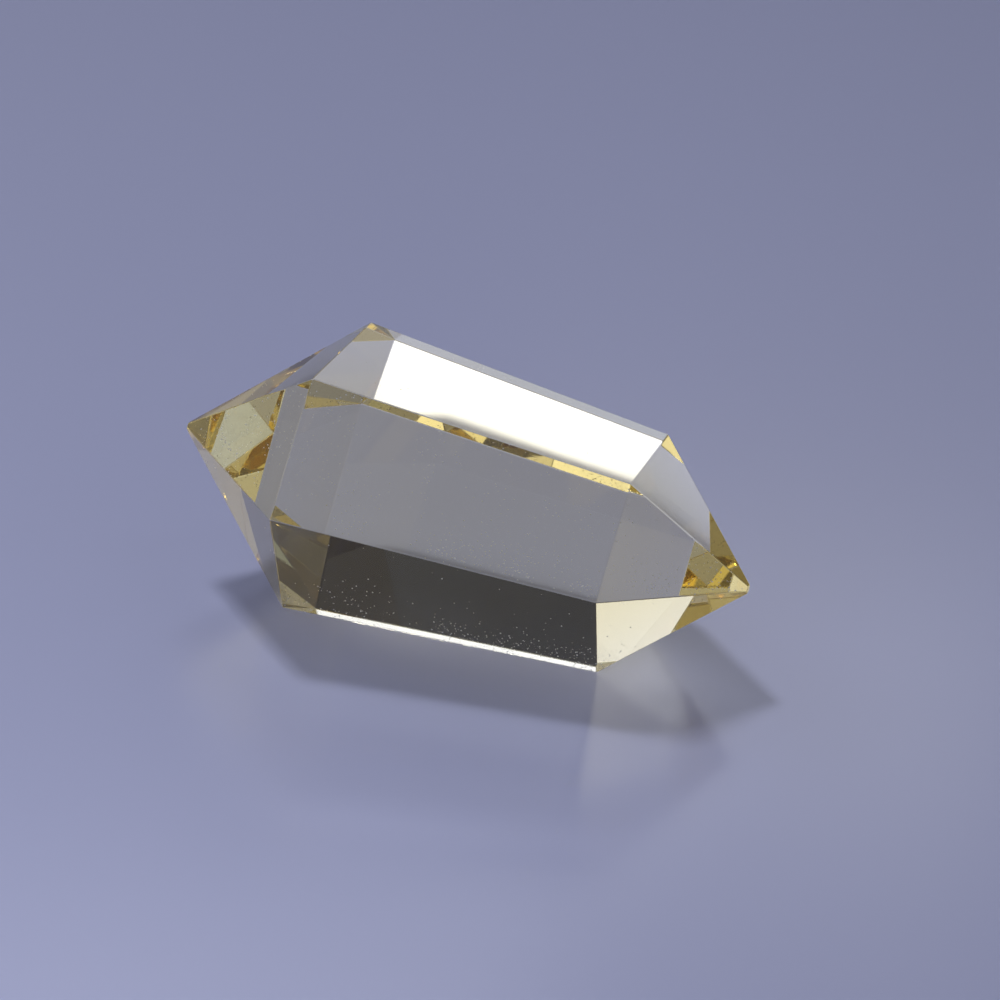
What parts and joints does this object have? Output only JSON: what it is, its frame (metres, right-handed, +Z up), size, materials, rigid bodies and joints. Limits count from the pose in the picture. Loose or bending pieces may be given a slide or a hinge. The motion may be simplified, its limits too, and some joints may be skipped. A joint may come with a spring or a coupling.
{
  "type": "double-terminated citrine point",
  "caption": "Clear yellow quartz cut as a tapering hexagonal prism with a faceted point at each end, lying on one of its long faces.",
  "frame": {"origin": "on the surface that the stone lies on, under the middle of its outline", "axes": "+X along the stone from its wide end to its narrow end, +Z up, +Y towards the back of the picture"},
  "size_m": [0.0496, 0.0248, 0.0213],
  "materials": {
    "citrine": "clear yellow quartz, flat faces ground and polished, edges lightly rounded by the polish"
  },
  "bodies": {
    "root": {"citrine_point": "citrine"}
  },
  "joints": []
}
